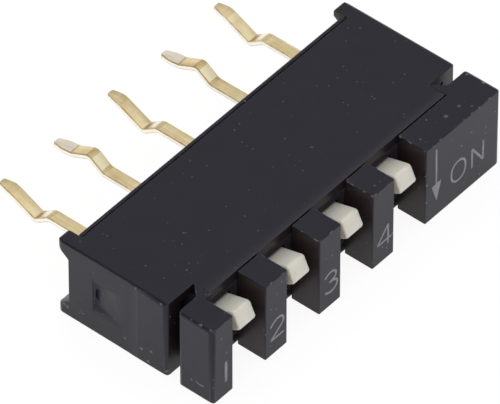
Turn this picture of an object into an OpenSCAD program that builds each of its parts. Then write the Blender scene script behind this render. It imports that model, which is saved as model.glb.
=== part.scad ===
// Four-way lever DIP switch with one row of kinked board legs.
// It lies on its flat side: X runs along the row of levers, Y from the levers to the legs, Z up.

/* [Body] */
// Length between the two end faces
body_len = 13.72; // [13.6:0.02:14.6]
// Height of the front guide
guide_h = 3.14; // [3.1:0.02:3.3]
// Height of the cover, a little less than the guide
cover_h = 3.09; // [3.04:0.01:3.1]
// Front edge of the cover's plates, behind the post fronts
plate_front = 1.16; // [1.12:0.01:1.2]
// Rear edge of the cover's plates, behind the post fronts
cover_rear = 5.64; // [5.6:0.02:5.66]
// Tips of the board feet, behind the post fronts
foot_reach = 6.22; // [6.1:0.02:6.3]
// Thickness of the cover's two plates
plate_t = 0.36; // [0.32:0.02:0.4]
// Thickness of the cover's end walls
end_t = 0.65; // [0.6:0.01:0.7]
// Rounding of the cover's upper long edges
edge_r = 0.18; // [0.1:0.01:0.2]

/* [Posts and slots] */
// Distance between neighbouring levers and legs
pitch = 2.54; // [2.5:0.01:2.54]
// Width of the slot that a lever moves in
slot_w = 1.51; // [1.45:0.01:1.55]
// Centre of the first slot, from the left end face
first_slot = 1.73; // [1.72:0.01:1.78]
// Rear face of the two end posts
post_rear = 1.37; // [1.34:0.01:1.4]
// Width of the groove between an end post and the cover
groove_w = 0.43; // [0.4:0.01:0.46]
// Depth of that groove, from the end face
groove_depth = 1.27; // [1.24:0.01:1.28]

/* [Levers] */
// Width of a lever
lever_w = 0.78; // [0.65:0.01:0.8]
// Distance from the pivot to the lever's front face
lever_reach = 2.02; // [1.9:0.01:2.04]
// Height of the lever's front face
lever_tip_h = 0.64; // [0.5:0.01:0.66]
// Slope of the lever's upper and lower faces to its own middle line
lever_taper = 7.8; // [6:0.1:8]
// Tilt of a lever from level, up when off and down when on
lever_tilt = 24; // [20:0.5:24]
// Radius of the lever's pivot pins
pin_r = 0.2; // [0.16:0.01:0.2]

/* [Legs] */
// Width of a leg
leg_w = 0.45; // [0.4:0.01:0.5]
// Thickness of the leg's sheet
leg_t = 0.18; // [0.15:0.01:0.24]
// Tips of the legs, behind the post fronts
leg_reach = 9.96; // [9.8:0.01:10.2]
// Start of the kink, behind the post fronts
kink_start = 7.79; // [7.5:0.01:7.9]
// Slope of the kink where it leaves the leg's own line
kink_rise = 36; // [30:1:40]
// Slope of the kink on its way back
kink_return = 26; // [20:1:28]
// Droop of the last stretch of a leg whose kink points up
tip_droop = 8; // [5:1:14]

/* [Hidden] */
$fn = 48;
arc_steps = 6;

black = [0.19, 0.19, 0.2];
ivory = [0.86, 0.85, 0.79];
gilt = [0.83, 0.72, 0.45];
bronze = [0.78, 0.6, 0.4];

// Clearance of moulded parts that slide into each other, and of what moves
fit_gap = 0.02;
run_gap = 0.06;
pin_gap = 0.03;
// Length by which the parts of one moulding reach into each other
overlap = 0.1;

// Part of the height difference between guide and cover that lies below the cover
low_share = 0.8;

half_len = body_len / 2;
cover_z = (guide_h - cover_h) * low_share;
cover_top = cover_z + cover_h;
inner_low = cover_z + plate_t;
inner_high = cover_top - plate_t;
groove_rear = post_rear + groove_w;
neck_x = half_len - groove_depth;
cavity_x = half_len - end_t;

// Front guide
post_depth = 1.11;
post_core = 0.94;
post_w = pitch - slot_w;
web_rear = 1.62;
window_h = 1.86;
cheek_t = 0.25;
cheek_rear = 2.36;
post_edge_r = 0.05;
end_edge_r = 0.17;
end_round = 0.14;
neck_slant = 0.4;
tongue_root = 0.2;
tongue_set = 0.2;

// Cover
step_y = 3.4;
step_in = 0.05;
step_run = 0.45;
foot_w = 0.53;
foot_h = 0.3;
foot_flank = 0.36;
foot_r = 0.13;
foot_corner_r = 0.2;
low_edge_r = 0.1;
recess_rear = 5.77;
catch_front = 3.6;
catch_rear = 4.8;
catch_low = 0.9;
catch_high = 2.26;
catch_depth = 0.15;

// Base
base_front = 4.2;
flange_front = 5.68;
flange_rear = 5.82;

// Pivot line of the levers
pivot_y = 2.05;
pivot_z = guide_h / 2;
hub_r = 0.6;
lever_root = 0.45;
lever_edge_r = 0.12;
cheek_x = lever_w / 2 + run_gap + cheek_t / 2;
pin_half_len = cheek_x + cheek_t / 2 - fit_gap;
finger_w = 0.2;
cam_reach = 0.95;
cam_r = 0.14;
cam_root = 0.42;

// Legs and inner contacts
leg_z = 1.68;
leg_tip_w = 0.27;
leg_taper_y = 9.56;
leg_taper_r = 0.4;
leg_tip_r = 0.1;
flank_run = 0.49;
up_run = 0.62;
down_run = 0.95;
tip_run = 1.2;
kink_start_r = 0.3;
kink_end_r = 0.16;
up_tip_r = 0.35;
down_tip_r = 0.6;
down_tip_rise = 4;
fixed_contact_y = 3.55;
fixed_contact_z = 2.5;
bend_r = 0.2;
bus_z = 0.6;
bus_front = 3.3;
bus_rear = 3.97;
leaf_t = 0.08;
leaf_w = 0.7;
leaf_rear = 3.72;
// Foot, rise, the two slopes of the bump, and the free end
leaf_steps = [[0.33, -90, 0.14], [0.31, 25, 0.1], [0.18, -50, 0.12], [0.18, 25, 0.1], [0.55, 0, 0]];

function slot_x(i) = -half_len + first_slot + pitch * i;
function leg_x(i) = pitch * (i - 2);
function flat(p) = [p.x, p.y];
function unit(v) = v / norm(v);
function turned(v, a) = [v.x * cos(a) - v.y * sin(a), v.x * sin(a) + v.y * cos(a)];
function heading(a) = [cos(a), sin(a)];
function left_of(a) = [-sin(a), cos(a)];

// Outline through [x, y, r] corners, each rounded to its own radius
function rounded(pts) = [
    for (i = [0:len(pts) - 1])
        each round_corner(pts[(i + len(pts) - 1) % len(pts)], pts[i], pts[(i + 1) % len(pts)])
];

function round_corner(before, at, after) =
    at.z == 0 ? [flat(at)] :
    let (
        to_before = unit(flat(before) - flat(at)),
        to_after = unit(flat(after) - flat(at)),
        half = acos(to_before * to_after) / 2,
        centre = flat(at) + unit(to_before + to_after) * at.z / sin(half),
        first = flat(at) + to_before * at.z / tan(half) - centre,
        turn = (180 - 2 * half) * sign(cross(to_after, to_before))
    )
    [for (k = [0:arc_steps]) centre + turned(first, turn * k / arc_steps)];

// Middle line of a bent strip. A step is [straight length, turn, radius of the turn],
// and each point of the line carries the heading there.
function strip_line(steps, p, a, i = 0) =
    i == len(steps) ? [[p, a]] :
    let (
        step = steps[i],
        bend_from = p + step[0] * heading(a),
        arm = step[2] * sign(step[1]),
        centre = bend_from + arm * left_of(a),
        bend = [
            for (k = [0:arc_steps])
                let (b = a + step[1] * k / arc_steps)
                    [centre - arm * left_of(b), b]
        ],
        last = step[1] == 0 ? [bend_from, a] : bend[arc_steps]
    )
    concat([[p, a]], step[1] == 0 ? [] : [for (k = [0:arc_steps - 1]) bend[k]],
        strip_line(steps, last[0], last[1], i + 1));

function strip_outline(line, t) = concat(
    [for (q = line) q[0] + left_of(q[1]) * t / 2],
    [for (k = [len(line) - 1:-1:0]) line[k][0] - left_of(line[k][1]) * t / 2]
);

// Moves a piece from the post fronts to the part's own origin
module at_origin() {
    translate([0, -leg_reach / 2, 0]) children();
}

// Extrudes a Y-Z outline along X
module side_view(x0, x1) {
    translate([x0, 0, 0]) rotate([90, 0, 90]) linear_extrude(x1 - x0) children();
}

// Extrudes an X-Z outline along Y
module front_view(y0, y1) {
    translate([0, y1, 0]) rotate([90, 0, 0]) linear_extrude(y1 - y0) children();
}

// Extrudes an X-Y outline along Z
module plan_view(z0, z1) {
    translate([0, 0, z0]) linear_extrude(z1 - z0) children();
}

module block(low, high) {
    translate(low) cube(high - low);
}

// Rectangle with four round corners
module round_rect(low, high, r) {
    translate([low.x + r, low.y]) square([high.x - low.x - 2 * r, high.y - low.y]);
    translate([low.x, low.y + r]) square([high.x - low.x, high.y - low.y - 2 * r]);
    for (x = [low.x + r, high.x - r], y = [low.y + r, high.y - r])
        translate([x, y]) circle(r);
}

// Strip of sheet bent along a line in the Y-Z plane
module bent_strip(x, w, t, start, start_turn, steps) {
    side_view(x - w / 2, x + w / 2) polygon(strip_outline(strip_line(steps, start, start_turn), t));
}

module both_ends() {
    children();
    mirror([1, 0, 0]) children();
}

module cover_plan() {
    translate([-neck_x, plate_front]) square([2 * neck_x, cover_rear - plate_front]);
    intersection() {
        round_rect([-half_len, groove_rear], [half_len, cover_rear + 1], end_edge_r);
        polygon([
            [-half_len, 0], [half_len, 0], [half_len, step_y - step_run], [half_len - step_in, step_y],
            [half_len - step_in, cover_rear], [-half_len + step_in, cover_rear],
            [-half_len + step_in, step_y], [-half_len, step_y - step_run]
        ]);
    }
    both_ends() foot_plan();
}

// A foot's outline, from the cover's rear edge to a round outer corner
module foot_plan() {
    outer = half_len - step_in;
    translate([outer - foot_w, cover_rear - overlap])
        square([foot_w - foot_corner_r, foot_reach - cover_rear + overlap]);
    translate([outer - foot_corner_r - overlap, cover_rear - overlap])
        square([foot_corner_r + overlap, foot_reach - foot_corner_r - cover_rear + overlap]);
    translate([outer - foot_corner_r, foot_reach - foot_corner_r]) circle(foot_corner_r);
}

// End view of the cover's rear: a foot along the top and one along the bottom, each with a sloping flank
module cover_side() {
    polygon(rounded([
        [0, cover_z, 0], [foot_reach, cover_z, foot_r], [foot_reach, cover_z + foot_h, foot_r / 2],
        [recess_rear, cover_z + foot_h + foot_flank, foot_r / 2],
        [recess_rear, cover_top - foot_h - foot_flank, foot_r / 2],
        [foot_reach, cover_top - foot_h, foot_r / 2], [foot_reach, cover_top, foot_r], [0, cover_top, 0]
    ]));
}

// Catch recess in an end wall: a ramp that is deepest at its rear, with a hollow floor
module catch_recess() {
    wall = half_len - step_in;
    half_h = (catch_high - catch_low) / 2;
    hollow_r = (pow(half_h, 2) + pow(catch_depth, 2)) / (2 * catch_depth);
    intersection() {
        plan_view(catch_low, catch_high)
            polygon([
                [half_len, catch_front], [half_len, catch_rear],
                [wall - catch_depth, catch_rear], [wall, catch_front]
            ]);
        front_view(catch_front, catch_rear)
            translate([wall - catch_depth + hollow_r, (catch_low + catch_high) / 2]) circle(hollow_r);
    }
}

module cover() {
    color(black) at_origin() difference() {
        intersection() {
            plan_view(cover_z, cover_top) cover_plan();
            front_view(0, foot_reach + 1) {
                round_rect([-half_len, cover_z], [half_len, cover_top - edge_r], low_edge_r);
                round_rect([-half_len, cover_z + low_edge_r], [half_len, cover_top], edge_r);
            }
            side_view(-half_len, half_len) cover_side();
        }
        block([-cavity_x, 0, inner_low], [cavity_x, foot_reach + 1, inner_high]);
        both_ends() catch_recess();
    }
}

// Outline of the guide's end post at the left, with its neck beside the groove
module end_post_plan(w) {
    round_rect([-half_len, 0], [-half_len + post_core, post_rear], end_edge_r);
    translate([-half_len + post_core / 2, 0]) {
        round_rect([0, 0], [w - post_core / 2, post_depth], post_edge_r);
        translate([0, post_depth / 2]) square([w - post_core / 2, post_depth / 2]);
        translate([0, post_depth]) square([post_core / 2, post_rear - post_depth]);
    }
    polygon([
        [-neck_x - neck_slant, post_depth], [-neck_x, post_depth],
        [-neck_x, groove_rear - fit_gap], [-neck_x - neck_slant, post_rear]
    ]);
}

// Posts, block and necks at full height, and between the cover's plates the wall behind the slots,
// the cheeks beside the levers and a tongue behind each groove
module guide_body(last_post) {
    plan_view(0, guide_h) {
        end_post_plan(first_slot - slot_w / 2);
        mirror([1, 0]) end_post_plan(half_len - last_post);
        for (i = [1:3])
            translate([slot_x(i) - slot_w / 2 - post_w, 0]) {
                round_rect([0, 0], [post_w, post_depth / 2], post_edge_r);
                translate([0, post_depth / 4]) square([post_w, post_depth * 3 / 4]);
            }
    }
    plan_view(inner_low, inner_high) {
        translate([-neck_x, plate_front]) square([2 * neck_x, web_rear - plate_front]);
        for (i = [1:3])
            translate([slot_x(i) - slot_w / 2 - post_w, post_depth - overlap])
                square([post_w, plate_front - post_depth + 2 * overlap]);
        translate([last_post, post_depth - overlap])
            square([neck_x - last_post, plate_front - post_depth + 2 * overlap]);
        for (i = [0:3], s = [-1, 1])
            translate([leg_x(i) + s * cheek_x - cheek_t / 2, web_rear - overlap])
                square([cheek_t, cheek_rear - web_rear + overlap]);
        both_ends()
            translate([neck_x - fit_gap, groove_rear + tongue_set])
                square([cavity_x - neck_x, cheek_rear - groove_rear - tongue_set]);
        translate([neck_x - tongue_root, web_rear - overlap])
            square([tongue_root, cheek_rear - web_rear + overlap]);
    }
}

module front_guide() {
    last_post = slot_x(3) + slot_w / 2;
    color(black) at_origin() difference() {
        intersection() {
            front_view(0, cheek_rear) round_rect([-half_len, 0], [half_len, guide_h], end_round);
            guide_body(last_post);
        }
        for (i = [0:3]) {
            block([leg_x(i) - lever_w / 2 - run_gap, plate_front - overlap, pivot_z - window_h / 2],
                [leg_x(i) + lever_w / 2 + run_gap, web_rear + overlap, pivot_z + window_h / 2]);
        }
        side_view(-half_len, half_len) {
            translate([pivot_y, pivot_z]) circle(pin_r + pin_gap);
            translate([pivot_y, pivot_z - pin_r - pin_gap]) square([1, 2 * (pin_r + pin_gap)]);
        }
    }
}

module base() {
    color(black) at_origin() difference() {
        union() {
            block([-cavity_x + fit_gap, base_front, inner_low + fit_gap],
                [cavity_x - fit_gap, (flange_front + flange_rear) / 2, inner_high - fit_gap]);
            block([-half_len + step_in + foot_w + fit_gap, flange_front, cover_z + fit_gap],
                [half_len - step_in - foot_w - fit_gap, flange_rear, cover_top - fit_gap]);
            block([-cavity_x + fit_gap, bus_front - run_gap, inner_low + fit_gap],
                [cavity_x - fit_gap, base_front + overlap, bus_z]);
            for (i = [0:3], s = [-1, 1])
                translate([leg_x(i) + s * cheek_x, 0, 0])
                    block([-finger_w / 2, pivot_y + run_gap, pivot_z - pin_r],
                        [finger_w / 2, base_front + overlap, pivot_z + pin_r]);
        }
        side_view(-half_len, half_len) translate([pivot_y, pivot_z]) circle(pin_r + pin_gap);
        for (i = [0:4])
            block([leg_x(i) - leg_w / 2, base_front - overlap, leg_z - leg_t / 2],
                [leg_x(i) + leg_w / 2, flange_rear + overlap, leg_z + leg_t / 2]);
    }
}

// Lever outline, level, about its pivot
module lever_side() {
    tip = lever_tip_h / 2;
    shoulder = tip + (lever_reach - lever_root) * tan(lever_taper);
    polygon(rounded([
        [-lever_reach, -tip, lever_edge_r], [-lever_root, -shoulder, 0],
        [-lever_root, shoulder, 0], [-lever_reach, tip, lever_edge_r]
    ]));
    circle(hub_r);
    polygon([
        [0, cam_root], [cam_reach - cam_r, cam_r],
        [cam_reach - cam_r, -cam_r], [0, -cam_root]
    ]);
    translate([cam_reach - cam_r, 0]) circle(cam_r);
}

module lever(i) {
    color(ivory) at_origin() translate([leg_x(i), pivot_y, pivot_z]) rotate([-lever_tilt, 0, 0]) {
        side_view(-lever_w / 2, lever_w / 2) lever_side();
        side_view(-pin_half_len, pin_half_len) circle(pin_r);
    }
}

// Leaf contact: a foot on the bus, a rise, and a bump that faces the lever's cam
module contact(i) {
    color(bronze) at_origin()
        bent_strip(leg_x(i), leaf_w, leaf_t, [leaf_rear, bus_z + leg_t + leaf_t / 2], 180, leaf_steps);
}

// Plan outline of a leg, which narrows to its tip
module leg_plan(x) {
    polygon(rounded([
        [x - leg_w / 2, bus_front, 0], [x + leg_w / 2, bus_front, 0],
        [x + leg_w / 2, leg_taper_y, leg_taper_r], [x + leg_tip_w / 2, leg_reach, leg_tip_r],
        [x - leg_tip_w / 2, leg_reach, leg_tip_r], [x - leg_w / 2, leg_taper_y, leg_taper_r]
    ]));
}

// The kink: away from the leg's line, back over it, and a last stretch that levels out towards the tip
function leg_steps(side) = [
    [kink_start - fixed_contact_y - bend_r, side * kink_rise, kink_start_r],
    [flank_run, -side * (kink_rise + kink_return), kink_end_r],
    side < 0 ? [down_run, down_tip_rise - kink_return, down_tip_r] :
        [up_run, kink_return - tip_droop, up_tip_r],
    [tip_run, 0, 0]
];

// Leg with its fixed contact turned up behind the leaf; side is 1 for a kink upward, -1 for one downward
module switch_terminal(i, side) {
    color(gilt) at_origin() intersection() {
        bent_strip(leg_x(i), leg_w, leg_t, [fixed_contact_y, fixed_contact_z], -90,
            concat([[fixed_contact_z - leg_z - bend_r, 90, bend_r]], leg_steps(side)));
        plan_view(0, guide_h) leg_plan(leg_x(i));
    }
}

// Leg of the common side, with the bus that carries the four leaf contacts
module common_terminal(i, side) {
    color(gilt) at_origin() {
        intersection() {
            bent_strip(leg_x(i), leg_w, leg_t, [fixed_contact_y, bus_z + leg_t / 2], 90,
                concat([[leg_z - bus_z - leg_t / 2 - bend_r, -90, bend_r]], leg_steps(side)));
            plan_view(0, guide_h) leg_plan(leg_x(i));
        }
        block([leg_x(0) - leaf_w / 2, bus_front, bus_z], [leg_x(i) + leg_w / 2, bus_rear, bus_z + leg_t]);
    }
}

cover();
front_guide();
base();
lever(0);  // lever_1
lever(1);  // lever_2
lever(2);  // lever_3
lever(3);  // lever_4
contact(0);  // contact_1
contact(1);  // contact_2
contact(2);  // contact_3
contact(3);  // contact_4
switch_terminal(0, -1);  // terminal_1
switch_terminal(1, 1);  // terminal_2
switch_terminal(2, -1);  // terminal_3
switch_terminal(3, 1);  // terminal_4
common_terminal(4, -1);  // terminal_5
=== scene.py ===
import math

import bmesh
import bpy
from mathutils import Matrix, Vector


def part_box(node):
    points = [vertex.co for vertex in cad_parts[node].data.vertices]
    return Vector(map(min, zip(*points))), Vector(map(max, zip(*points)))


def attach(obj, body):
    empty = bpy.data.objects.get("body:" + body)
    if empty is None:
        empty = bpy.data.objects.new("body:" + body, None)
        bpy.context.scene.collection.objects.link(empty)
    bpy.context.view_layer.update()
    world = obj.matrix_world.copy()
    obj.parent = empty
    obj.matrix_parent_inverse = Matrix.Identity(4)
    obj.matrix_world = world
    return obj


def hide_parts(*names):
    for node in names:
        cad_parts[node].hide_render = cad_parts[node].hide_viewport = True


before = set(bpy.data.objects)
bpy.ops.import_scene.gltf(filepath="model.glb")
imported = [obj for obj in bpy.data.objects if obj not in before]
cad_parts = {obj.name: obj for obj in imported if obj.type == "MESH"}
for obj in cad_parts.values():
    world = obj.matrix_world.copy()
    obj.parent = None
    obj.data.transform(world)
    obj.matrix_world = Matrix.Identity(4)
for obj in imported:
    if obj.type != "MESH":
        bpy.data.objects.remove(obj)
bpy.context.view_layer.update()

scene = bpy.context.scene
MM = 0.001


# Camera. It looks down on the row of levers from their left end, from far off
# with a long lens, so that parallel edges of the body stay nearly parallel.
VIEW_TARGET = Vector((-1.16129, -1.66219, 2.22211)) * MM
VIEW_AZIMUTH = math.radians(-49.88777)
VIEW_ELEVATION = math.radians(44.87413)
VIEW_DISTANCE = 311.397 * MM
SENSOR_WIDTH = 36.0
LENS = 735.595
NEAREST = 0.01
FARTHEST = 10.0


def way_to(azimuth, elevation):
    """The direction in which something lies, with azimuth 0 at the front of the part."""
    return Vector((
        math.cos(elevation) * math.sin(azimuth),
        -math.cos(elevation) * math.cos(azimuth),
        math.sin(elevation),
    ))


view_back = way_to(VIEW_AZIMUTH, VIEW_ELEVATION)
camera_data = bpy.data.cameras.new("camera")
camera_data.sensor_width = SENSOR_WIDTH
camera_data.lens = LENS
camera_data.clip_start = NEAREST
camera_data.clip_end = FARTHEST
camera = bpy.data.objects.new("camera", camera_data)
camera.location = VIEW_TARGET + view_back * VIEW_DISTANCE
camera.rotation_euler = (-view_back).to_track_quat("-Z", "Y").to_euler()
scene.collection.objects.link(camera)
scene.camera = camera


# Front guide. One black glass-filled nylon moulding across the whole front: end post, three
# inner posts and the wide block, on the wall that the levers pass through. The spark-eroded
# tool leaves a fine grain on its skin, which is dull at the backs of the slots. Its slot walls
# take a warm brown of painted bounce light, for the dim light that the ivory levers throw into them.
HOUSING = "housing"

# The easing of its edges, and the angles in degrees at which an edge is hard, flat or folded.
MOULDED_EDGE = 0.032 * MM
HARD_ANGLE = 50.0
FLAT_ANGLE = 0.5
FOLD_ANGLE = 150.0
SAME_POINT = 0.0001 * MM
CLOSE_CORNER = Vector((-5.59, -3.82)) * MM
EDGE_NEAR = 0.002 * MM

# The plastic and its grain, the colours of what wears and settles on it, and the painted light in its slots
# and catch recess.
GUIDE_DARK = (0.0064, 0.0050, 0.0128, 1.0)
GUIDE_LIGHT = (0.0086, 0.0070, 0.0163, 1.0)
BOUNCE_BROWN = (0.0230, 0.0150, 0.0150, 1.0)
DUST_GREY = (0.36, 0.36, 0.38, 1.0)
WORN_GREY = (0.050, 0.049, 0.056, 1.0)
SCUFF_AND_GLINT_GREY = (0.13, 0.13, 0.14, 1.0)
RECESS_LIGHT = (0.034, 0.032, 0.032, 1.0)
NOISE_RANGE = (0.36, 0.64)
FINE_GRAIN = 0.42
GLOSS_SPREAD = 0.02
SKIN_DEPTH = 0.004 * MM

# Wear along its edges, with scuffs that along the end walls' rounding also stand for painted glints.
RUBBED_RANGE = (0.38, 0.68)
SCUFFED_RANGE = (0.57, 0.69)
EDGE_WEAR = 0.4
SCUFF_AND_GLINT_SHARE = 0.8

# Dust and lint, and the heights and places between which they thicken.
FAINTEST_SPECK = 0.35
DUST_ON_TOP = 0.9
DUST_ON_WALL = 1.7
COARSE_DUST = 1.3
SPECKS_ON_TOP = 0.5
DUST_COVER = 0.8
DUST_DULLNESS = 0.4
SPECK_HEIGHT = 0.012 * MM
DUST_LOW = 0.3 * MM
DUST_HIGH = 1.2 * MM
BLOCK_LEFT = 3.2 * MM
LINT_FULL = 3.6 * MM
LINT_SHARE = 0.5
LINT_ROOM = 1.05 * MM

# Where the slots lie, measured inwards from the guide's box.
SLOT_STEP = 0.05 * MM
DEEP_WALL = 1.05 * MM
DEEP_WALL_SHARE = 0.3

# How far a face's normal points along an axis, where the face leans or looks that way.
LEANING = 0.5
FACING = 0.9
EASED_LOW = 0.2
EASED_HIGH = 0.95


def add_node(tree, kind, inputs=(), **settings):
    """Adds a shader node, with its settings, and sets or links each of its inputs."""
    made = tree.nodes.new("ShaderNode" + kind)
    for name, value in settings.items():
        setattr(made, name, value)
    for name, value in dict(inputs).items():
        if isinstance(value, bpy.types.NodeSocket):
            tree.links.new(value, made.inputs[name])
        else:
            made.inputs[name].default_value = value
    return made


def new_group(name, inputs, outputs):
    """Starts a shader node group with named inputs and outputs."""
    group = bpy.data.node_groups.new(name, "ShaderNodeTree")
    for label, kind, value in inputs:
        socket = group.interface.new_socket(name=label, in_out="INPUT", socket_type=kind)
        if value is not None:
            socket.default_value = value
    for label in outputs:
        group.interface.new_socket(name=label, in_out="OUTPUT", socket_type="NodeSocketFloat")
    return group, group.nodes.new("NodeGroupInput").outputs, group.nodes.new("NodeGroupOutput").inputs


def use_group(tree, group, inputs):
    """Places a shader node group in a material and gives its outputs."""
    return add_node(tree, "Group", inputs, node_tree=group).outputs


def new_material(name):
    """Starts a material: its node tree, its Principled shader and its Object coordinates."""
    material = bpy.data.materials.new(name)
    material.use_nodes = True
    tree = material.node_tree
    tree.nodes.clear()
    shader = add_node(tree, "BsdfPrincipled")
    add_node(tree, "OutputMaterial", {"Surface": shader.outputs["BSDF"]})
    return material, tree, shader, add_node(tree, "TexCoord").outputs["Object"]


def mix_colours(tree, factor, first, second):
    """Mixes two colours: the first where the factor is 0, and the second where it is 1."""
    return add_node(tree, "Mix", {0: factor, 6: first, 7: second}, data_type="RGBA").outputs[2]


def scaled(tree, value, low, high):
    """Maps a mask of 0 to 1 onto low to high."""
    return add_node(tree, "MapRange", {"Value": value, "To Min": low, "To Max": high}).outputs["Result"]


def ramp(tree, value, start, end, low=0.0, high=1.0):
    """Maps a value from start to end onto low to high."""
    limits = {"Value": value, "From Min": start, "From Max": end, "To Min": low, "To Max": high}
    return add_node(tree, "MapRange", limits).outputs["Result"]


def combined(tree, operation, first, second):
    """Combines two values by one operation of arithmetic."""
    return add_node(tree, "Math", {0: first, 1: second}, operation=operation).outputs[0]


def marked(tree, name):
    """Reads the share that each face has in something, as mark_faces has stored it."""
    return add_node(tree, "Attribute", attribute_name=name).outputs["Fac"]


# Grain of a moulded surface: a soft mottle and a fine skin.
moulded_grain, given, put_out = new_group(
    "moulded_grain",
    [("Place", "NodeSocketVector", None), ("Mottle", "NodeSocketFloat", 900.0),
     ("Grain", "NodeSocketFloat", 24000.0)],
    ["Tone", "Skin"],
)
broad = add_node(
    moulded_grain, "TexNoise",
    {"Vector": given["Place"], "Scale": given["Mottle"], "Detail": 3.0, "Roughness": 0.6},
)
fine = add_node(
    moulded_grain, "TexNoise",
    {"Vector": given["Place"], "Scale": given["Grain"], "Detail": 2.0, "Roughness": 0.55},
)
tone = add_node(moulded_grain, "Mix", {0: FINE_GRAIN, 2: broad.outputs[0], 3: fine.outputs[0]})
moulded_grain.links.new(ramp(moulded_grain, tone.outputs[0], *NOISE_RANGE), put_out["Tone"])
moulded_grain.links.new(fine.outputs[0], put_out["Skin"])

# Dust and lint specks: round spots of many sizes, where the random points of a cell pattern
# lie near the surface.
dust_specks, given, put_out = new_group(
    "dust_specks",
    [("Place", "NodeSocketVector", None), ("Cells", "NodeSocketFloat", 1900.0),
     ("Size", "NodeSocketFloat", 0.15), ("Share", "NodeSocketFloat", 0.5)],
    ["Specks"],
)
cells = add_node(dust_specks, "TexVoronoi", {"Vector": given["Place"], "Scale": given["Cells"]})
chance = add_node(dust_specks, "SeparateColor", {"Color": cells.outputs["Color"]}).outputs
reach = combined(dust_specks, "MULTIPLY", given["Size"], chance["Red"])
spot = add_node(
    dust_specks, "MapRange",
    {"Value": cells.outputs["Distance"], "From Min": 0.0, "From Max": reach, "To Min": 1.0, "To Max": 0.0},
    interpolation_type="SMOOTHSTEP",
)
shine = scaled(dust_specks, chance["Blue"], FAINTEST_SPECK, 1.0)
bright = combined(dust_specks, "MULTIPLY", spot.outputs[0], shine)
chosen = combined(dust_specks, "LESS_THAN", chance["Green"], given["Share"])
dust_specks.links.new(combined(dust_specks, "MULTIPLY", bright, chosen), put_out["Specks"])

# Rubbed edges: the eased faces along hard edges, broken up where the rubbing missed them, and
# the few short scuffs where an edge was knocked. Along the end walls' rounding these pale dashes
# are also painted glints: painted highlights.
rubbed_edges, given, put_out = new_group(
    "rubbed_edges", [("Place", "NodeSocketVector", None), ("Breaks", "NodeSocketFloat", 2600.0)],
    ["Rubbed", "Scuffs_and_glints"],
)
patchy = add_node(
    rubbed_edges, "TexNoise", {"Vector": given["Place"], "Scale": given["Breaks"], "Detail": 3.0},
)
kept = ramp(rubbed_edges, patchy.outputs[0], *RUBBED_RANGE)
rubbed = combined(rubbed_edges, "MULTIPLY", marked(rubbed_edges, "eased_edge"), kept)
rubbed_edges.links.new(rubbed, put_out["Rubbed"])
short = add_node(rubbed_edges, "TexNoise", {"Vector": given["Place"], "Scale": 5200.0, "Detail": 1.0})
struck = ramp(rubbed_edges, short.outputs[0], *SCUFFED_RANGE)
scuffs_and_glints = combined(rubbed_edges, "MULTIPLY", marked(rubbed_edges, "scuff_and_glint"), struck)
rubbed_edges.links.new(scuffs_and_glints, put_out["Scuffs_and_glints"])


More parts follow.
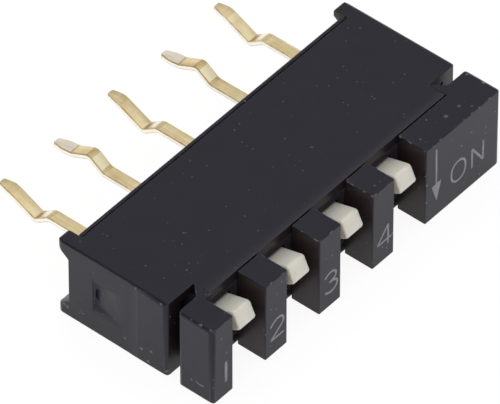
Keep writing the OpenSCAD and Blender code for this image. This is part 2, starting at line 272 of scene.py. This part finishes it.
def black_nylon(name, dark, light, roughness, dust, fallen_share):
    """Black moulded plastic: mottled, finely grained, dusty, and paler along its rubbed edges."""
    material, tree, shader, place = new_material(name)
    grain = use_group(tree, moulded_grain, {"Place": place})
    edges = use_group(tree, rubbed_edges, {"Place": place})
    colour = mix_colours(tree, grain["Tone"], dark, light)
    colour = mix_colours(tree, scaled(tree, edges["Rubbed"], 0.0, EDGE_WEAR), colour, WORN_GREY)
    # Painted light: the walls of slots and gaps take a warm brown for the dim light bounced into them from
    # the levers.
    colour = mix_colours(tree, marked(tree, "painted_bounce"), colour, BOUNCE_BROWN)
    # Painted light: the catch recess's rear wall is painted lighter.
    colour = mix_colours(tree, marked(tree, "recess_light"), colour, RECESS_LIGHT)
    # Scuffs, which along the end walls' rounding are also painted highlights.
    colour = mix_colours(tree, scaled(tree, edges["Scuffs_and_glints"], 0.0, SCUFF_AND_GLINT_SHARE), colour, SCUFF_AND_GLINT_GREY)

    # Small and large specks lie everywhere, and thicker dust low on the walls and on the block.
    axes = add_node(tree, "SeparateXYZ", {"Vector": place}).outputs
    wall = marked(tree, "side_wall")
    on_block = ramp(tree, axes["X"], BLOCK_LEFT, LINT_FULL, high=LINT_SHARE)
    linty = combined(tree, "MULTIPLY", on_block, marked(tree, "linty_top"))
    side = combined(tree, "MAXIMUM", wall, linty)
    low_down = ramp(tree, axes["Z"], DUST_HIGH, DUST_LOW, high=fallen_share)
    settled = combined(tree, "MAXIMUM", combined(tree, "MULTIPLY", low_down, wall), linty)
    dusted = scaled(tree, side, DUST_ON_TOP * dust, DUST_ON_WALL * dust)
    small = use_group(tree, dust_specks, {"Place": place, "Cells": 4200.0, "Size": 0.25, "Share": dusted})
    fallen = use_group(tree, dust_specks, {"Place": place, "Cells": 3100.0, "Size": 0.34, "Share": settled})
    large = use_group(tree, dust_specks, {
        "Place": place, "Cells": 1700.0, "Size": 0.11, "Share": COARSE_DUST * dust,
    })
    specks = combined(tree, "MAXIMUM", small["Specks"], large["Specks"])
    specks = combined(tree, "MAXIMUM", specks, fallen["Specks"])
    specks = combined(tree, "MULTIPLY", specks, scaled(tree, side, SPECKS_ON_TOP, 1.0))
    colour = mix_colours(tree, scaled(tree, specks, 0.0, DUST_COVER), colour, DUST_GREY)
    tree.links.new(colour, shader.inputs["Base Color"])

    duller = combined(tree, "MAXIMUM", specks, marked(tree, "deep_wall"))
    skin_gloss = scaled(tree, grain["Tone"], roughness - GLOSS_SPREAD, roughness + GLOSS_SPREAD)
    rough = combined(tree, "ADD", skin_gloss, scaled(tree, duller, 0.0, DUST_DULLNESS))
    tree.links.new(rough, shader.inputs["Roughness"])
    skin = add_node(tree, "Bump", {"Height": grain["Skin"], "Distance": SKIN_DEPTH, "Strength": 0.8})
    lint = add_node(
        tree, "Bump",
        {"Height": specks, "Distance": SPECK_HEIGHT, "Strength": 0.7, "Normal": skin.outputs[0]},
    )
    tree.links.new(lint.outputs[0], shader.inputs["Normal"])
    shader.inputs["Specular IOR Level"].default_value = 0.31
    return material


def mark_faces(piece, name, share):
    """Gives a piece a face attribute, 0 to 1, from the share that each face has in something."""
    layer = piece.data.attributes.new(name, "FLOAT", "FACE")
    for face in piece.data.polygons:
        layer.data[face.index].value = float(share(face))


def finished_copy(node, name, body, material, edge, hard_angle=HARD_ANGLE, shown=lambda place: True):
    """A copy of a CAD node with its hard edges eased by a small radius, which stands for the node.

    Edges that reach no shown place stay sharp. Faces that the easing folds over where edges crowd
    are joined again.
    """
    solid = bmesh.new()
    solid.from_mesh(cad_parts[node].data)
    bmesh.ops.remove_doubles(solid, verts=solid.verts[:], dist=SAME_POINT)
    bmesh.ops.dissolve_limit(
        solid, angle_limit=math.radians(FLAT_ANGLE), verts=solid.verts[:], edges=solid.edges[:],
    )
    mark = solid.faces.layers.float.new("eased_edge")
    hard = [
        e for e in solid.edges
        if e.is_manifold and e.calc_face_angle() > math.radians(hard_angle)
        and any(shown(v.co) for v in e.verts)
    ]
    eased = bmesh.ops.bevel(
        solid, geom=hard, offset=edge, offset_type="OFFSET", affect="EDGES", segments=2, profile=0.5,
        material=-1, clamp_overlap=False,
    )
    for face in eased["faces"]:
        face[mark] = 1.0
    folded = [e for e in solid.edges if e.is_manifold and e.calc_face_angle() > math.radians(FOLD_ANGLE)]
    bmesh.ops.dissolve_edges(solid, edges=folded, use_verts=True)
    for face in solid.faces:
        face.smooth = True
    mesh = bpy.data.meshes.new(name)
    solid.to_mesh(mesh)
    solid.free()
    mesh.set_sharp_from_angle(angle=math.radians(hard_angle))
    mesh.materials.append(material)
    piece = bpy.data.objects.new(name, mesh)
    scene.collection.objects.link(piece)
    faces = piece.modifiers.new("flat_faces", "WEIGHTED_NORMAL")
    faces.keep_sharp = True
    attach(piece, body)
    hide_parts(node)
    mark_faces(piece, "side_wall", lambda face: abs(face.normal.z) < LEANING)
    return piece


guide_nylon = black_nylon(
    "guide_nylon", GUIDE_DARK, GUIDE_LIGHT, roughness=0.31, dust=0.24, fallen_share=0.2,
)
guide_low, guide_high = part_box("front_guide")

# Two upright edges at the end post's neck stand too close to ease both, so the inner one stays sharp.
guide = finished_copy(
    "front_guide", "guide_moulding", HOUSING, guide_nylon, MOULDED_EDGE,
    shown=lambda place: (place.xy - CLOSE_CORNER).length > EDGE_NEAR,
)


def is_deep(face):
    """Tells whether a face lies as far back as the wall behind the slots."""
    return face.center.y > guide_low.y + DEEP_WALL


def in_guide_slot(face):
    """Picks the faces that line a slot, and the wall behind it at a lower share, for the painted bounce
    light.
    """
    between = guide_low.x + SLOT_STEP < face.center.x < guide_high.x - SLOT_STEP
    below_top = face.center.z < guide_high.z - SLOT_STEP
    behind = face.center.y > guide_low.y + SLOT_STEP
    share = DEEP_WALL_SHARE if is_deep(face) else 1.0
    return (between and below_top and behind) * share


def on_upper_edge(face):
    """Picks the eased edges round the tops of the posts and the block."""
    return EASED_LOW < face.normal.z < EASED_HIGH and face.center.z > guide_high.z - SLOT_STEP


def on_guide_top(face):
    """Picks the faces that look up in the guide's upper third. Lint shows on those of the block."""
    return face.normal.z > FACING and face.center.z > guide_high.z - LINT_ROOM


# The slot walls get the warm brown of painted bounce light.
mark_faces(guide, "painted_bounce", in_guide_slot)
mark_faces(guide, "deep_wall", lambda face: in_guide_slot(face) and is_deep(face))
mark_faces(guide, "scuff_and_glint", on_upper_edge)
mark_faces(guide, "linty_top", on_guide_top)


# Cover. A black moulded sleeve that slides over the guide from the rear: two plates, two end
# walls with a catch recess, and a board foot at each rear corner.
COVER_DARK = (0.0058, 0.0050, 0.0122, 1.0)
COVER_LIGHT = (0.0078, 0.0069, 0.0154, 1.0)
RIM = 0.4 * MM
RIM_FALL = 2.0
RIM_WEAR = 0.45
KNOCK_ROOM = 0.25 * MM
RECESS_REAR = -0.18 * MM
RECESS_ROOM = 0.3 * MM
RECESS_NEAR = 0.001 * MM
FRONT_END_SHARE = 0.7
KNOCKED_LOW = 0.8
KNOCKED_HIGH = 0.995
KNOCKED_UPWARDS = 0.1

cover_nylon = black_nylon(
    "cover_nylon", COVER_DARK, COVER_LIGHT, roughness=0.31, dust=0.6, fallen_share=0.9,
)
cover_low, cover_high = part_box("cover")

# Fingertips that work the levers rub the plate paler along its front rim.
tree = cover_nylon.node_tree
shader = tree.nodes["Principled BSDF"]
place = tree.nodes["Texture Coordinate"].outputs["Object"]
far = add_node(tree, "SeparateXYZ", {"Vector": place}).outputs["Y"]
near_rim = combined(tree, "POWER", ramp(tree, far, cover_low.y + RIM, cover_low.y), RIM_FALL)
thumbed = combined(tree, "MULTIPLY", near_rim, marked(tree, "top_plate"))
colour = shader.inputs["Base Color"].links[0].from_socket
colour = mix_colours(tree, scaled(tree, thumbed, 0.0, RIM_WEAR), colour, WORN_GREY)
tree.links.new(colour, shader.inputs["Base Color"])


def outside_recess(place):
    """Tells whether a place lies clear of the edges round the recess's rear wall."""
    return abs(place.y - RECESS_REAR) > RECESS_NEAR or abs(place.x) < cover_high.x - RECESS_ROOM


cover = finished_copy(
    "cover", "cover_sleeve", HOUSING, cover_nylon, MOULDED_EDGE, shown=outside_recess,
)


def in_sleeve(face):
    """Picks the faces that look inwards, to the sleeve's own middle, or forwards, at the posts."""
    to_middle = Vector((0.0, face.center.y, cover_high.z / 2)) - face.center
    inwards = face.normal.dot(to_middle) > 0.0 and abs(face.normal.y) < LEANING
    return FRONT_END_SHARE if face.normal.y < -FACING else inwards


def on_scuffed_glinting_edge(face):
    """Picks the lower part of the rounding along the upper edges of the end walls, where pale dashes are
    painted: scuffs, and painted glints of light.
    """
    rounded = KNOCKED_LOW < abs(face.normal.x) < KNOCKED_HIGH and face.normal.z > KNOCKED_UPWARDS
    return rounded and face.center.z > cover_high.z - KNOCK_ROOM


def on_plate(face):
    """Picks the top of the upper plate, with the upper part of its rounding."""
    return face.normal.z > LEANING and face.center.z > cover_high.z - SLOT_STEP


def in_recess(face):
    """Picks the rear wall of the catch recess, which gets a paler grey: painted light."""
    return not outside_recess(face.center) and face.normal.y < -FACING


# Painted bounce light on the sleeve's inner faces and on its faces that look forwards, at the posts.
mark_faces(cover, "painted_bounce", in_sleeve)
mark_faces(cover, "top_plate", on_plate)
# Painted light on the recess's rear wall.
mark_faces(cover, "recess_light", in_recess)
# Pale dashes along the rounding: scuffs and painted glints.
mark_faces(cover, "scuff_and_glint", on_scuffed_glinting_edge)


# Base. The black rear moulding that closes the sleeve, holds the legs and ends in the fingers
# that shut the levers' pivot seats.
BASE_EDGE = 0.045 * MM

base_nylon = black_nylon(
    "base_nylon", GUIDE_DARK, GUIDE_LIGHT, roughness=0.36, dust=0.35, fallen_share=0.9,
)
finished_copy("base", "base_moulding", HOUSING, base_nylon, BASE_EDGE)


# Levers. Four ivory acetal rockers, one in each slot, that turn on pins moulded with them. The
# plastic lets a little light into its edges, and fingers have left a faint grime.
LEVER_EDGE = 0.06 * MM
KNOB_BACK = -3.6 * MM
IVORY = (0.79, 0.765, 0.69, 1.0)
IVORY_WARM = (0.75, 0.715, 0.61, 1.0)
GRIME = (0.36, 0.32, 0.24, 1.0)
GRIME_SHARE = 0.35
LEVER_ROUGHNESS = (0.28, 0.4)
LEVER_SKIN_DEPTH = 0.0012 * MM
SUBSURFACE_DEPTH = 0.4 * MM

lever_acetal, tree, shader, place = new_material("lever_acetal")
grain = use_group(tree, moulded_grain, {"Place": place, "Mottle": 1300.0, "Grain": 16000.0})
marks = use_group(tree, dust_specks, {"Place": place, "Cells": 2600.0, "Size": 0.16, "Share": 0.4})
colour = mix_colours(tree, grain["Tone"], IVORY_WARM, IVORY)
colour = mix_colours(tree, scaled(tree, marks["Specks"], 0.0, GRIME_SHARE), colour, GRIME)
tree.links.new(colour, shader.inputs["Base Color"])
tree.links.new(scaled(tree, grain["Tone"], *LEVER_ROUGHNESS), shader.inputs["Roughness"])
skin = add_node(tree, "Bump", {"Height": grain["Skin"], "Distance": LEVER_SKIN_DEPTH, "Strength": 0.6})
tree.links.new(skin.outputs[0], shader.inputs["Normal"])
shader.inputs["Subsurface Weight"].default_value = 0.6
shader.inputs["Subsurface Radius"].default_value = (1.0, 0.7, 0.4)
shader.inputs["Subsurface Scale"].default_value = SUBSURFACE_DEPTH

for n in range(1, 5):
    finished_copy(
        f"lever_{n}", f"lever_rocker_{n}", f"lever_{n}", lever_acetal, LEVER_EDGE,
        shown=lambda place: place.y < KNOB_BACK,
    )


# Legs. Five strips of copper alloy, stamped, bent and gold-flashed. They dip and rise in turn.
# Rolling leaves faint lines along the strip and the press leaves rounded edges. Painted
# reflections lie in the colour: brown shade at the bends and near the dipped tips, a bright
# highlight on the rising runs, pale to brown along the falling runs, and pale creases, raised
# tips and sheared sides where they face the bright room and table.
LEG_EDGE = 0.038 * MM
LEG_HARD_ANGLE = 60.0
ROLLING_DEPTH = 0.0014 * MM
LEG_ROUGHNESS = (0.30, 0.50)
STAIN_RANGE = (0.42, 0.7)
STAIN_SHARE = 0.4
TIP_SHADE = 0.45
# Gilt colours. The brown is a stain and also paints shade; the highlight and the pale reflection paint light.
GILT = (0.76, 0.61, 0.31, 1.0)
GILT_PALE = (0.93, 0.81, 0.52, 1.0)
GILT_STAIN_AND_SHADE = (0.48, 0.34, 0.15, 1.0)
GILT_HIGHLIGHT = (1.0, 0.90, 0.60, 1.0)
PALE_REFLECTION = (0.98, 0.95, 0.86, 1.0)
SIDE_NORMAL = 0.95
# Where along the leg the painted tip shade and the falling runs' painted reflection lie.
TIP_START = 4.45 * MM
TIP_END = 4.95 * MM
REFLECTION_DARK_FROM = 3.20 * MM
REFLECTION_DARK_TO = 3.31 * MM
KINK_START = 2.95 * MM
PALE_FROM = 4.2 * MM
CREASE_AREA = 0.01 * MM ** 2
BEND_AREA = 0.02 * MM ** 2
DIPPED_BEND = 0.5
RAISED_BEND = 0.9

rolled_strip, given, put_out = new_group(
    "rolled_strip", [("Place", "NodeSocketVector", None), ("Lines", "NodeSocketFloat", 9000.0)],
    ["Lines", "Stain"],
)
along = add_node(rolled_strip, "Mapping", {"Vector": given["Place"], "Scale": (1.0, 0.045, 0.045)})
lines = add_node(
    rolled_strip, "TexNoise",
    {"Vector": along.outputs[0], "Scale": given["Lines"], "Detail": 4.0, "Roughness": 0.7},
)
rolled_strip.links.new(ramp(rolled_strip, lines.outputs[0], *NOISE_RANGE), put_out["Lines"])
stain = add_node(
    rolled_strip, "TexNoise", {"Vector": given["Place"], "Scale": 1500.0, "Detail": 4.0, "Roughness": 0.62},
)
rolled_strip.links.new(ramp(rolled_strip, stain.outputs[0], *STAIN_RANGE), put_out["Stain"])

leg_gilt, tree, shader, place = new_material("leg_gilt")
strip = use_group(tree, rolled_strip, {"Place": place})
edges = use_group(tree, rubbed_edges, {"Place": place, "Breaks": 3200.0})
colour = mix_colours(tree, strip["Lines"], GILT, GILT_PALE)
colour = mix_colours(tree, scaled(tree, strip["Stain"], 0.0, STAIN_SHARE), colour, GILT_STAIN_AND_SHADE)
far = add_node(tree, "SeparateXYZ", {"Vector": place}).outputs["Y"]
# Painted shade: the dipped legs turn brown towards their tips, which face a dimmer part of the room.
near_tip = ramp(tree, far, TIP_START, TIP_END, high=TIP_SHADE)
shaded_tip = combined(tree, "MULTIPLY", near_tip, marked(tree, "dipped_leg"))
# Painted reflection on the falling runs: pale above the dip, brown nearer its bottom.
falling_reflection = mix_colours(tree, ramp(tree, far, REFLECTION_DARK_FROM, REFLECTION_DARK_TO), PALE_REFLECTION, GILT_STAIN_AND_SHADE)
# Painted reflections and shade go on in turn, over the strip's own colour and stains.
for share, over in [
    (shaded_tip, GILT_STAIN_AND_SHADE),
    (scaled(tree, marked(tree, "pale_tip"), 0.0, 0.6), PALE_REFLECTION),
    (scaled(tree, marked(tree, "rising_run"), 0.0, 0.9), GILT_HIGHLIGHT),
    (scaled(tree, marked(tree, "falling_run"), 0.0, 0.8), falling_reflection),
    (scaled(tree, marked(tree, "bend_shade"), 0.0, 0.6), GILT_STAIN_AND_SHADE),
    (scaled(tree, marked(tree, "crease_highlight"), 0.0, 0.3), PALE_REFLECTION),
    (scaled(tree, edges["Rubbed"], 0.0, 0.7), GILT_STAIN_AND_SHADE),
    (scaled(tree, marked(tree, "sheared_side"), 0.0, 0.9), PALE_REFLECTION),
]:
    colour = mix_colours(tree, share, colour, over)
tree.links.new(colour, shader.inputs["Base Color"])
tree.links.new(scaled(tree, strip["Lines"], *LEG_ROUGHNESS), shader.inputs["Roughness"])
rolling = add_node(tree, "Bump", {"Height": strip["Lines"], "Distance": ROLLING_DEPTH, "Strength": 0.7})
tree.links.new(rolling.outputs[0], shader.inputs["Normal"])
shader.inputs["Metallic"].default_value = 1.0


def mark_leg(leg, dips):
    """Marks the faces of a leg where reflections are painted: brown ones for shade, pale and bright ones for
    light. Its kink dips or rises.
    """
    bend_share = DIPPED_BEND if dips else RAISED_BEND

    def on_strip(face):
        return abs(face.normal.x) < SIDE_NORMAL

    def on_kink(face):
        return on_strip(face) and face.normal.z > LEANING and face.center.y > KINK_START

    # Painted reflection: the sheared sides are near white, for the white table that they reflect.
    mark_faces(leg, "sheared_side", lambda face: not on_strip(face))
    mark_faces(leg, "dipped_leg", lambda face: dips)
    # Painted shade: the small faces of the bends are brown.
    mark_faces(leg, "bend_shade", lambda face: (on_strip(face) and face.area < BEND_AREA) * bend_share)
    # Painted highlight: the creases of the dipped legs are pale.
    mark_faces(leg, "crease_highlight", lambda face: dips and on_strip(face) and face.area < CREASE_AREA)
    # Painted reflection on the falling runs.
    mark_faces(leg, "falling_run", lambda face: dips and on_kink(face) and face.normal.y > LEANING)
    # Painted highlight on the rising runs.
    mark_faces(leg, "rising_run", lambda face: not dips and on_kink(face) and face.normal.y < -LEANING)
    # Painted reflection: the raised legs' tips are pale.
    mark_faces(leg, "pale_tip", lambda face: not dips and on_kink(face) and face.center.y > PALE_FROM)


for n in range(1, 6):
    leg = finished_copy(f"terminal_{n}", f"leg_{n}", HOUSING, leg_gilt, LEG_EDGE, LEG_HARD_ANGLE)
    mark_leg(leg, dips=n % 2 == 1)


# Leaf contacts. Thin bronze strips inside, one behind each lever, plain spring metal with the
# lines of its rolling and a brown tarnish.
BRONZE = (0.74, 0.52, 0.31, 1.0)
TARNISH = (0.40, 0.24, 0.13, 1.0)
TARNISH_SHARE = 0.7
LEAF_ROUGHNESS = (0.25, 0.5)

leaf_bronze, tree, shader, place = new_material("leaf_bronze")
strip = use_group(tree, rolled_strip, {"Place": place, "Lines": 24000.0})
colour = mix_colours(tree, scaled(tree, strip["Stain"], 0.0, TARNISH_SHARE), BRONZE, TARNISH)
tree.links.new(colour, shader.inputs["Base Color"])
tree.links.new(scaled(tree, strip["Lines"], *LEAF_ROUGHNESS), shader.inputs["Roughness"])
shader.inputs["Metallic"].default_value = 1.0

for n in range(1, 5):
    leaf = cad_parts[f"contact_{n}"]
    leaf.data.materials.clear()
    leaf.data.materials.append(leaf_bronze)


# Markings. Pale grey strokes laser-marked on the front faces: the levers' numbers, and on the
# block ON and an arrow that shows which way it is. A stroke stands hardly above the plastic.
FRONT_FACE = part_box("front_guide")[0].y
STROKE = 0.09 * MM
WIDE_STROKE = 0.128 * MM
STROKE_FLATNESS = 0.1
MARK_GREY = (0.31, 0.31, 0.32, 1.0)
MARK_THIN = (0.22, 0.22, 0.23, 1.0)
MARK_ROUGHNESS = (0.5, 0.7)

marking, tree, shader, place = new_material("marking")
grain = use_group(tree, moulded_grain, {"Place": place, "Mottle": 6000.0, "Grain": 26000.0})
tree.links.new(mix_colours(tree, grain["Tone"], MARK_THIN, MARK_GREY), shader.inputs["Base Color"])
tree.links.new(scaled(tree, grain["Skin"], *MARK_ROUGHNESS), shader.inputs["Roughness"])


def stroke_mesh(points, smooth, width):
    """One run of the marking along points of the front face, given in mm as (x, z)."""
    curve = bpy.data.curves.new("stroke", "CURVE")
    curve.dimensions = "3D"
    curve.bevel_depth = width / 2
    curve.bevel_resolution = 2
    curve.resolution_u = 6
    curve.use_fill_caps = True
    closed = points[0] == points[-1]
    knots = points[:-1] if closed else points
    spline = curve.splines.new("BEZIER")
    spline.use_cyclic_u = closed
    spline.bezier_points.add(len(knots) - 1)
    for knot, (x, z) in zip(spline.bezier_points, knots):
        knot.co = (x * MM, 0.0, z * MM)
        knot.handle_left_type = knot.handle_right_type = "AUTO" if smooth else "VECTOR"
    holder = bpy.data.objects.new("stroke", curve)
    mesh = bpy.data.meshes.new_from_object(holder)
    bpy.data.objects.remove(holder)
    closed_up = bmesh.new()
    closed_up.from_mesh(mesh)
    bmesh.ops.remove_doubles(closed_up, verts=closed_up.verts[:], dist=SAME_POINT)
    bmesh.ops.recalc_face_normals(closed_up, faces=closed_up.faces[:])
    closed_up.to_mesh(mesh)
    closed_up.free()
    return mesh


BAR = [(-6.22, 1.43), (-6.22, 0.565)]
front_strokes = [
    ([(-4.142, 1.217), (-3.93, 1.375), (-3.68, 1.40), (-3.535, 1.27), (-3.57, 1.09), (-3.82, 0.88),
      (-4.12, 0.65)], True),
    ([(-4.141, 0.645), (-3.5, 0.64)], False),
    ([(-1.569, 1.318), (-1.375, 1.431), (-1.13, 1.40), (-1.04, 1.26), (-1.13, 1.1), (-1.348, 1.035)], True),
    ([(-1.348, 1.035), (-1.12, 1.01), (-0.985, 0.865), (-1.06, 0.68), (-1.273, 0.604), (-1.564, 0.70)], True),
    ([(1.45, 0.60), (1.45, 1.43), (0.939, 0.825), (1.601, 0.823)], False),
    ([(3.748, 2.867), (3.765, 1.4)], False),
    ([(4.50, 1.16), (4.60, 1.47), (4.86, 1.57), (5.10, 1.45), (5.18, 1.16), (5.10, 0.87), (4.86, 0.75),
      (4.60, 0.85), (4.50, 1.16)], True),
    ([(5.50, 0.76), (5.50, 1.56), (6.04, 0.76), (6.04, 1.56)], False),
]
ARROW_HEAD = [(3.545, 1.36), (3.765, 1.42), (3.998, 1.40), (3.778, 0.66)]

strokes = bmesh.new()
runs = [(BAR, False, WIDE_STROKE)]
for points, smooth in front_strokes:
    parts = [points] if smooth else list(zip(points, points[1:]))
    runs += [(part, smooth, STROKE) for part in parts]
for points, smooth, width in runs:
    mesh = stroke_mesh(points, smooth, width)
    strokes.from_mesh(mesh)
    bpy.data.meshes.remove(mesh)
corners = [strokes.verts.new((x * MM, -STROKE / 2, z * MM)) for x, z in ARROW_HEAD]
head = bmesh.ops.extrude_face_region(strokes, geom=[strokes.faces.new(corners)])
bmesh.ops.translate(
    strokes, vec=(0.0, STROKE, 0.0), verts=[v for v in head["geom"] if isinstance(v, bmesh.types.BMVert)],
)
bmesh.ops.recalc_face_normals(strokes, faces=strokes.faces[:])
bmesh.ops.scale(strokes, vec=(1.0, STROKE_FLATNESS, 1.0), verts=strokes.verts[:])
bmesh.ops.translate(strokes, vec=(0.0, FRONT_FACE, 0.0), verts=strokes.verts[:])
mark_mesh = bpy.data.meshes.new("front_markings")
strokes.to_mesh(mark_mesh)
strokes.free()
mark_mesh.materials.append(marking)
front_markings = bpy.data.objects.new("front_markings", mark_mesh)
scene.collection.objects.link(front_markings)
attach(front_markings, HOUSING)


# Scratch. One shallow scratch low on the end post's outer face, where something hard once
# touched it. The plastic is pale where it was dragged up.
OUTER_FACE = guide_low.x
SCRATCH = 0.03 * MM
scratch_points = [(-4.315, 0.645), (-4.43, 0.60), (-4.56, 0.60), (-4.639, 0.617)]

# It is drawn as on a front face, then turned and moved onto the end face.
scratch_mesh = stroke_mesh(scratch_points, True, SCRATCH)
drag = bmesh.new()
drag.from_mesh(scratch_mesh)
bmesh.ops.rotate(drag, matrix=Matrix.Rotation(math.radians(90.0), 3, "Z"), verts=drag.verts[:])
bmesh.ops.scale(drag, vec=(STROKE_FLATNESS, 1.0, 1.0), verts=drag.verts[:])
bmesh.ops.translate(drag, vec=(OUTER_FACE, 0.0, 0.0), verts=drag.verts[:])
drag.to_mesh(scratch_mesh)
drag.free()
scratch_mesh.materials.append(marking)
scratch = bpy.data.objects.new("post_scratch", scratch_mesh)
scene.collection.objects.link(scratch)
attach(scratch, HOUSING)


# Table. A wide white sheet that the part lies on. It is matt and keeps the part's soft shadow,
# and seen by the eye or in a reflection it is white, except that in reflections it darkens a
# little in front of the part: painted shade.
TABLE_RADIUS = 2.5
TABLE_DROP = 0.01 * MM
TABLE_MATT = (0.8, 0.8, 0.8, 1.0)
SEEN_SHADED = 0.12
SEEN_GREY = (SEEN_SHADED, SEEN_SHADED, SEEN_SHADED, 1.0)
MIRRORED_GREY = (0.6, 0.6, 0.6, 1.0)
MIRRORED_GLOW = 0.55
MIRRORED_GLOW_SHADED = 0.445
FRONT_EDGE = (-5.6 * MM, -4.6 * MM)
LAMP_LEVEL = 0.73

sheet = bmesh.new()
bmesh.ops.create_circle(sheet, cap_ends=True, radius=TABLE_RADIUS, segments=64)
bmesh.ops.translate(sheet, vec=(0.0, 0.0, -TABLE_DROP), verts=sheet.verts[:])
sheet_mesh = bpy.data.meshes.new("table")
sheet.to_mesh(sheet_mesh)
sheet.free()

paper = bpy.data.materials.new("paper")
paper.use_nodes = True
tree = paper.node_tree
tree.nodes.clear()
path = add_node(tree, "LightPath").outputs
mirrored = combined(tree, "MAXIMUM", path["Is Glossy Ray"], path["Is Transmission Ray"])
shaded = mix_colours(tree, path["Is Camera Ray"], TABLE_MATT, SEEN_GREY)
shaded = mix_colours(tree, mirrored, shaded, MIRRORED_GREY)
place = add_node(tree, "TexCoord").outputs["Object"]
far = add_node(tree, "SeparateXYZ", {"Vector": place}).outputs["Y"]
# Painted shade: in reflections the sheet darkens towards the part's front, for the part's own shadow there.
fall = ramp(tree, far, FRONT_EDGE[0], FRONT_EDGE[1], MIRRORED_GLOW_SHADED, MIRRORED_GLOW)
seen = scaled(tree, path["Is Camera Ray"], 0.0, 1.0 - LAMP_LEVEL * SEEN_SHADED)
glow = combined(tree, "ADD", seen, combined(tree, "MULTIPLY", mirrored, fall))
matt = add_node(tree, "BsdfDiffuse", {"Color": shaded})
white = add_node(tree, "Emission", {"Color": (1.0, 1.0, 1.0, 1.0), "Strength": glow})
both = add_node(tree, "AddShader", {0: matt.outputs[0], 1: white.outputs[0]})
add_node(tree, "OutputMaterial", {"Surface": both.outputs[0]})
sheet_mesh.materials.append(paper)
table = bpy.data.objects.new("table", sheet_mesh)
scene.collection.objects.link(table)


# Light. A soft bright room: white low down and overhead, greyer between, with a dim corner far
# behind the part's left end. One large soft lamp stands on that side too, but higher up.
ROOM_LEVELS = [(0.0, 1.08), (0.2, 1.04), (0.34, 0.62), (0.55, 0.62), (0.7, 0.74), (0.9, 1.05)]
ROOM_SCALE = 1.2
DIM_CORNER_SIDE = (-0.80, 0.46, 0.38)
DIM_CORNER = 0.45
DIM_CORNER_START = 0.74
DIM_CORNER_FULL = 0.92
ROOM_TINT = (1.0, 1.0, 1.02, 1.0)
LAMP_DISTANCE = 1.2
LAMP_SIZE = 2.0
LAMP_POWER = 3.0
LAMP_AZIMUTH = math.radians(-120.0)
LAMP_ELEVATION = math.radians(50.0)

world = bpy.data.worlds.new("room")
world.use_nodes = True
tree = world.node_tree
direction = add_node(tree, "TexCoord").outputs["Generated"]
height = add_node(tree, "SeparateXYZ", {"Vector": direction}).outputs["Z"]
levels = add_node(tree, "ValToRGB", {"Fac": height})
stops = levels.color_ramp.elements
while len(stops) < len(ROOM_LEVELS):
    stops.new(1.0)
for stop, (position, value) in zip(stops, ROOM_LEVELS):
    stop.position = position
    grey = value / ROOM_SCALE
    stop.color = (grey, grey, grey, 1.0)
facing = add_node(
    tree, "VectorMath", {0: direction, 1: DIM_CORNER_SIDE}, operation="DOT_PRODUCT",
).outputs["Value"]
corner = ramp(tree, facing, DIM_CORNER_START, DIM_CORNER_FULL, ROOM_SCALE, ROOM_SCALE * DIM_CORNER)
level = combined(tree, "MULTIPLY", levels.outputs["Color"], corner)
background = tree.nodes["Background"]
tree.links.new(level, background.inputs["Strength"])
background.inputs["Color"].default_value = ROOM_TINT
scene.world = world

lamp_data = bpy.data.lights.new("soft_lamp", "AREA")
lamp_data.shape = "DISK"
lamp_data.size = LAMP_SIZE
lamp_data.energy = LAMP_POWER
lamp = bpy.data.objects.new("soft_lamp", lamp_data)
lamp_back = way_to(LAMP_AZIMUTH, LAMP_ELEVATION)
lamp.location = lamp_back * LAMP_DISTANCE
lamp.rotation_euler = (-lamp_back).to_track_quat("-Z", "Y").to_euler()
lamp.visible_glossy = False
scene.collection.objects.link(lamp)

scene.view_settings.view_transform = "Standard"
